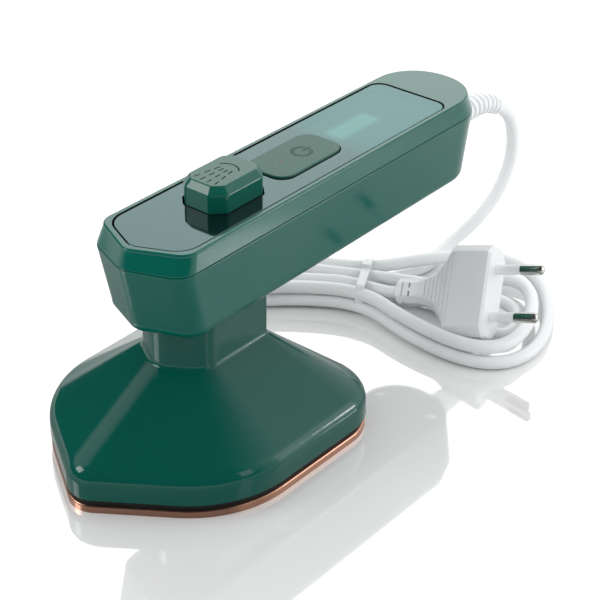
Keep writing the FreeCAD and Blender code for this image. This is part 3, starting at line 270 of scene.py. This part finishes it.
cord = tube_curve("mains_cord", cord_points, cord_radius)
white_vinyl.coat(cord)
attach(cord, "handle")
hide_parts("free_cord", "cord_hank")

# Strain relief, plug body, pin sleeves, tie and the cord's inner end: the same white vinyl as the cord.
# The relief and the plug are moulded on the cord, and the tie is drawn tight round the bundle.
white_vinyl.coat("strain_relief", "plug_body", "pin_sleeves", "cord_tie", "inner_cord")

# Plug pins: turned brass, nickel plated, with rounded tips. They are crimped to the cord's two cores,
# and the body of the plug is moulded round them.
nickel = Finish("nickel_plate", (0.66, 0.65, 0.62), 0.22, Metallic=1.0)
nickel.feed("Roughness", nickel.speckle(900) * 0.15 + 0.12)
nickel.coat("plug_pins")

# Sole plate: a cast plate with a coppery ceramic coat, fixed under the heater block. Only its rim shows
# while the iron rests on it.
coppery, coppery_shade = (0.74, 0.40, 0.28), (0.69, 0.37, 0.26)
copper = Finish("copper_coat", coppery, 0.25, Metallic=1.0)
copper.feed("Roughness", copper.speckle(500) * 0.04 + 0.23)
copper.feed("Base Color", copper.mix(copper.speckle(90), (*coppery, 1), (*coppery_shade, 1)))
copper.relief(copper.speckle(3000), 0.01, 0.0001)
copper.coat("soleplate")

# Heat band: a heat-proof black thermoset ring, clamped between the hot plate and the plastic shell.
# The switch, the retainer of the swivel, the cord clamp and small board parts inside are black as well.
black_plastic = moulded("black_plastic", (0.004, 0.005, 0.005), (0.006, 0.007, 0.007), 0.6, 0.1)
black_plastic.coat("heat_band", "power_switch", "board_components", "swivel_retainer", "cord_clamp")

# Head shell: a glossy green moulding with a hollow neck and a spigot on which it turns. It is screwed down
# on the heater block. Its colour is the handle's green painted darker, as painted shade from the handle
# above.
head_shaded_green = moulded("head_shaded_green", (0.0005, 0.078, 0.058), (0.0005, 0.072, 0.053), 0.11, 0.02,
                     IOR=plastic_index)
head_shaded_green.coat("head_shell")

# Lower handle shell and filler plug: glossy green mouldings. Five screws from below hold the shell and
# the top frame together, and the plug is pushed into the filler of the tank.
handle_green, handle_shade = (0.0005, 0.101, 0.075), (0.0005, 0.094, 0.070)
green_plastic = moulded("green_plastic", handle_green, handle_shade, 0.11, 0.02, IOR=plastic_index)
green_plastic.coat("lower_housing", "filler_plug")

# Top frame: the upper moulding of the handle, in the same green, which carries the panel on a ledge.
# The walls of its opening face inwards into the narrow gap round the panel and are painted near black as
# shade.
frame_green = Finish("frame_green", handle_green, 0.11, IOR=plastic_index)
frame_green.relief(frame_green.speckle(grain_scale), 0.02, grain_depth)
handle_middle = (0, 0.045, 0)
normal = frame_green.node("ShaderNodeNewGeometry", {"output": "Normal"}, {})
from_middle = frame_green.node("ShaderNodeVectorMath", {"operation": "SUBTRACT"},
                               {0: frame_green.place(), 1: handle_middle})
outwards = frame_green.node("ShaderNodeVectorMath", {"operation": "DOT_PRODUCT", "output": "Value"},
                            {0: normal, 1: from_middle})
# painted shade: the inward-facing walls of the opening get a near-black, dull finish
inner = outwards < 0
frame_green.feed("Base Color", frame_green.mix(inner, (*handle_green, 1), (0.0, 0.006, 0.005, 1)))
frame_green.feed("Roughness", 0.11 + inner * 0.6)
frame_green.coat("top_frame")

# Spray button: a tall hollow key in the same glossy green, which stands on the plunger of the pump.
# Its top is dull, with a dome and rows of drops cut into it. Its foot stands in the gap of the panel.
# The lines of the dome and the drops, and the foot, are painted near black as shade in the grooves and the
# gap.
spray_shade = (0.004, 0.095, 0.066)
spray_green = Finish("spray_green", spray_shade, 0.12, IOR=plastic_index)
across, along, up = spray_green.axis("X"), spray_green.axis("Y"), spray_green.axis("Z")
panel_face = 0.0853
line_half = 0.00026
dome_radius, dome_middle, dome_foot = 0.0049, 0.0153, 0.0180
off_dome = abs((across ** 2 + (along - dome_middle) ** 2) ** 0.5 - dome_radius)
dome = (off_dome < line_half) & (along > dome_foot)
fan_origin = 0.031
fan_step = math.radians(6.7)
drop_pitch, drop_share, first_drop, last_drop = 0.0042, 0.6, 0.0147, 0.0268
ahead = fan_origin - along
distance = (across ** 2 + ahead ** 2) ** 0.5
turned = spray_green.node("ShaderNodeMath", {"operation": "ARCTAN2"}, {0: across, 1: ahead})
off_ray = abs(turned % fan_step - 0.5 * fan_step) * distance
drops = (off_ray < line_half) & (abs(turned) < 2 * fan_step)
drops &= ((distance - first_drop) % drop_pitch) < drop_pitch * drop_share
drops &= (distance > first_drop) & (distance < last_drop)
top_start, top_blend = 0.0938, 0.0004
top = spray_green.clamp((up - top_start) / top_blend)
# painted shade: the cut lines on the top and the foot below the panel face are near black
groove_and_gap_shade = ((dome | drops) & top) | (up < panel_face)
spray_green.feed("Base Color", spray_green.mix(groove_and_gap_shade, (*spray_shade, 1), (0.0, 0.006, 0.004, 1)))
spray_green.feed("Roughness", 0.12 + top * 0.18 + groove_and_gap_shade * 0.6)
spray_green.relief(spray_green.speckle(grain_scale) * top * 0.2 + (1 - groove_and_gap_shade), 0.6, 0.0003)
spray_green.coat("spray_button")

# Power button: a low dull green plate, held by a flange under the panel and pushed up by the switch.
# A ring with a bar, the common sign for on and off, stands up on it, with a painted shadow round its edge.
# Its sides below the panel face are painted near black as shade in the gap.
power_shade = (0.012, 0.095, 0.066)
power_green = Finish("power_green", power_shade, 0.34, IOR=plastic_index)
across, along, up = power_green.axis("X"), power_green.axis("Y"), power_green.axis("Z")
sign_place, sign_radius, sign_half, sign_shade_width = 0.0555, 0.0033, 0.00024, 0.00052
ahead = along - sign_place
bar_gap, bar_foot, bar_top = 0.0012, 0.0004, 0.0044
off_ring = abs((across ** 2 + ahead ** 2) ** 0.5 - sign_radius) + ((abs(across) < bar_gap) & (ahead > 0))
off_bar = abs(across) + (1 - ((ahead > bar_foot) & (ahead < bar_top)))
off_sign = off_ring & off_bar
raised = (off_sign < sign_half) & (up > panel_face)
# painted shade: a dark rim round the raised sign, and the sides below the panel face
sign_and_gap_shade = (((off_sign < sign_shade_width) & (up > panel_face)) - raised) | (up < panel_face)
power_green.feed("Base Color", power_green.mix(sign_and_gap_shade, (*power_shade, 1), (0.0, 0.010, 0.007, 1)))
power_green.feed("Roughness", 0.34 + sign_and_gap_shade * 0.5)
power_green.relief(power_green.speckle(grain_scale) * 0.2 + raised, 0.6, 0.0003)
power_green.surface.inputs["Specular IOR Level"].default_value = 0.3
power_green.coat("power_button")

# Top panel: a clear moulding bonded into the frame. It is painted near black from behind round the buttons
# and left clear over the tank. A paler strip is painted into its colour over the middle of the tank.
panel_clear = Finish("panel_clear", (0.01, 0.02, 0.02), 0.06, IOR=1.75)
panel_clear.surface.inputs["Specular Tint"].default_value = (0.45, 1.0, 0.98, 1)
window_start, window_blend = 0.066, 0.010
window = panel_clear.clamp((panel_clear.axis("Y") - window_start) / window_blend)
tinted = panel_clear.mix(window, (0.003, 0.012, 0.011, 1), (0.04, 0.135, 0.130, 1))
# a paler strip painted into the panel's own colour over the tank
strip_width, strip_middle, strip_half, strip_blend = 0.0055, 0.084, 0.0125, 0.003
strip = panel_clear.clamp((strip_width - abs(panel_clear.axis("X"))) / strip_blend)
strip *= panel_clear.clamp((strip_half - abs(panel_clear.axis("Y") - strip_middle)) / strip_blend)
panel_clear.feed("Base Color", panel_clear.mix(strip, tinted, (0.09, 0.26, 0.23, 1)))
panel_clear.feed("Alpha", 0.97 - window * 0.17)
panel_clear.feed("Roughness", panel_clear.speckle(200) * 0.03 + 0.05)
panel_clear.coat("clear_panel")

# Button frame: an opaque moulding, near black, bonded under the front of the panel. It guides the buttons
# and holds the circuit board.
frame_grey = moulded("frame_grey", (0.012, 0.018, 0.018), (0.015, 0.02, 0.02), 0.4, 0.05)
frame_grey.coat("button_frame")

# Indicator lens: a small light pipe of dark clear plastic, pressed into the power button and flush with
# its top. A lamp on the circuit board shines into it.
lens_clear = Finish("lens_clear", (0.002, 0.012, 0.009), 0.12, IOR=plastic_index)
lens_clear.feed("Roughness", lens_clear.speckle(2000) * 0.1 + 0.08)
lens_clear.coat("indicator_lens")

# Water tank and lid: translucent turquoise mouldings, welded together. They sit in the rear of the handle,
# under the clear part of the panel.
turquoise, pale_turquoise = (0.16, 0.62, 0.55), (0.20, 0.70, 0.62)
tank_tint = Finish("tank_tint", turquoise, 0.2, IOR=1.45)
tank_tint.feed("Base Color", tank_tint.mix(tank_tint.speckle(40), (*turquoise, 1), (*pale_turquoise, 1)))
tank_tint.coat("water_tank", "tank_lid")

# Pump, its plunger, the switch plunger and the swivel washer: natural acetal, a pale plastic that slides
# well. They are moulded, and the pump is screwed to the floor of the handle.
pale_plastic = moulded("pale_plastic", (0.66, 0.66, 0.62), (0.62, 0.62, 0.58), 0.4, 0.1)
pale_plastic.coat("pump_body", "pump_plunger", "switch_plunger", "swivel_washer")

# Circuit board: glass-fibre board with green lacquer, cut to shape and screwed under the button frame.
# The switch and the lamp of the lens are soldered to it.
board_green = moulded("board_green", (0.01, 0.12, 0.04), (0.015, 0.15, 0.05), 0.35, 0.1)
board_green.coat("circuit_board")

# Heater block and heating element: a cast aluminium block with a steam chamber, and the flat metal-cased
# heater that a clamp presses on it.
cast_metal = Finish("cast_metal", (0.58, 0.58, 0.59), 0.45, Metallic=1.0)
cast_metal.feed("Roughness", cast_metal.speckle(700) * 0.3 + 0.3)
cast_metal.relief(cast_metal.speckle(1800), 0.3, 0.0002)
cast_metal.coat("heater_block", "heating_element")

# Screws, element clamp, pump spring, thermostat and fuse: steel with a zinc plating. The screws are cold
# formed, the clamp is bent from sheet, and the spring is wound.
steel = Finish("zinc_steel", (0.56, 0.56, 0.57), 0.3, Metallic=1.0)
steel.feed("Roughness", steel.speckle(1500) * 0.2 + 0.2)
steel.coat("head_screws", "element_clamp", "element_clamp_screws", "handle_screws", "pump_screws",
           "board_screws", "retainer_screws", "cord_clamp_screws", "pump_spring", "thermostat",
           "thermal_fuse")

# Water tubes: milky silicone hose, pushed over the nipples of the tank, the pump and the heater block.
# One leads to the pump and one from it, down through the hollow spigot.
silicone = moulded("milky_silicone", (0.6, 0.63, 0.62), (0.56, 0.6, 0.6), 0.45, 0.05)
silicone.coat("inlet_tube", "outlet_tube")

# Leads: brown sheathed copper wires, soldered to the board and crimped to the heater. They run in pairs,
# from the cord to the board and on through the spigot.
lead_sheath = moulded("lead_sheath", (0.13, 0.06, 0.035), (0.11, 0.05, 0.03), 0.4, 0.05)
lead_sheath.coat("head_leads", "handle_leads", "supply_leads")

# Floor: a pale glossy sheet that carries soft shadows and a faint reflection of the object. Where the
# object mirrors the ground close by, it mirrors a painted grey: painted shade for ground the object hides
# from light.
floor_mesh = bpy.data.meshes.new("floor")
half = 3.0
corners = [(-half, -half, 0), (half, -half, 0), (half, half, 0), (-half, half, 0)]
floor_mesh.from_pydata(corners, [], [(0, 1, 2, 3)])
floor = bpy.data.objects.new("floor", floor_mesh)
bpy.context.scene.collection.objects.link(floor)
floor_finish = Finish("floor_gloss", (0.9, 0.9, 0.9), 0.5)
in_gloss = floor_finish.node("ShaderNodeLightPath", {"output": "Is Glossy Ray"}, {})
floor_middle, near_radius, near_blend = 0.05, 0.10, 0.15
ahead = floor_finish.axis("Y") - floor_middle
spread = (floor_finish.axis("X") ** 2 + ahead ** 2) ** 0.5
near = 1 - floor_finish.clamp((spread - near_radius) / near_blend)
pale = floor_finish.node("ShaderNodeBsdfDiffuse", {}, {"Color": (0.92, 0.92, 0.92, 1)})
# painted shade: glossy rays see this grey instead of the pale floor in a disc round the object
grey = floor_finish.node("ShaderNodeBsdfDiffuse", {}, {"Color": (0.36, 0.36, 0.36, 1)})
matt = floor_finish.node("ShaderNodeMixShader", {}, {0: in_gloss * near, 1: pale, 2: grey})
gloss = floor_finish.node("ShaderNodeBsdfGlossy", {}, {"Color": (1, 1, 1, 1), "Roughness": 0.05})
sheen = floor_finish.speckle(8) * 0.02 + 0.26
sheet = floor_finish.node("ShaderNodeMixShader", {}, {0: sheen, 1: matt, 2: gloss})
floor_finish.join(sheet, floor_finish.tree.nodes["Material Output"].inputs["Surface"])
floor_finish.coat(floor)

# Studio light: a large soft box behind on the left, smaller ones in front and on the right, and a pale
# surround, white where the camera sees it and darker where the glossy pieces mirror it.
lit_point = Vector((0, 0.04, 0.05))


def soft_box(name, direction, distance, width, height, power):
    """A rectangular lamp that faces the object from a direction."""
    data = bpy.data.lights.new(name, "AREA")
    data.shape = "RECTANGLE"
    data.size = width
    data.size_y = height
    data.energy = power
    lamp = bpy.data.objects.new(name, data)
    away = Vector(direction).normalized()
    lamp.location = lit_point + away * distance
    lamp.rotation_mode = "QUATERNION"
    lamp.rotation_quaternion = away.to_track_quat("Z", "Y")
    lamp.visible_camera = False
    bpy.context.scene.collection.objects.link(lamp)


soft_box("back_box", (-0.54, 0.67, 0.56), 1.2, 1.1, 0.7, 3.0)
soft_box("front_box", (-0.54, -0.66, 0.51), 1.0, 0.36, 0.36, 2.2)
soft_box("right_back_box", (0.76, 0.62, 0.20), 0.52, 0.22, 0.30, 0.16)
soft_box("low_box", (0.749, 0.658, 0.078), 0.54, 0.10, 0.06, 0.2)
soft_box("right_box", (0.95, -0.08, 0.33), 0.6, 0.12, 0.25, 0.12)


class Surround(Finish):
    """The world's shader, built with the same node method."""

    def __init__(self, name):
        self.material = bpy.data.worlds.new(name)
        self.material.use_nodes = True
        self.tree = self.material.node_tree
        self.surface = self.tree.nodes["Background"]
        self.surface.inputs["Color"].default_value = (1, 1, 1, 1)

    def towards(self, direction):
        """How far a ray points in a direction, from -1 to 1."""
        ray = self.node("ShaderNodeTexCoord", {"output": "Generated"}, {})
        return self.node("ShaderNodeVectorMath", {"operation": "DOT_PRODUCT", "output": "Value"},
                         {0: ray, 1: Vector(direction).normalized()})


studio = Surround("studio")
bpy.context.scene.world = studio.material
camera_ray = studio.node("ShaderNodeLightPath", {"output": "Is Camera Ray"}, {})
glossy_ray = studio.node("ShaderNodeLightPath", {"output": "Is Glossy Ray"}, {})
backdrop = studio.clamp((studio.towards((0.1, 0.95, 0.3)) - 0.3) / 0.4)
ceiling = studio.clamp((1.0 - studio.towards((0, 0, 1))) / 0.38)
side_sky = studio.clamp((studio.towards((-0.71, -0.22, 0.67)) - 0.91) / 0.07)
mirrored = backdrop * ceiling * 0.97 + side_sky * 0.8 + 0.03
fill = studio.clamp(studio.towards((0.25, 0.45, 0.85))) * 0.40 + 0.72
seen = glossy_ray * mirrored + (1 - glossy_ray) * fill
studio.feed("Strength", camera_ray + (1 - camera_ray) * seen)

bpy.context.scene.view_settings.view_transform = "Standard"
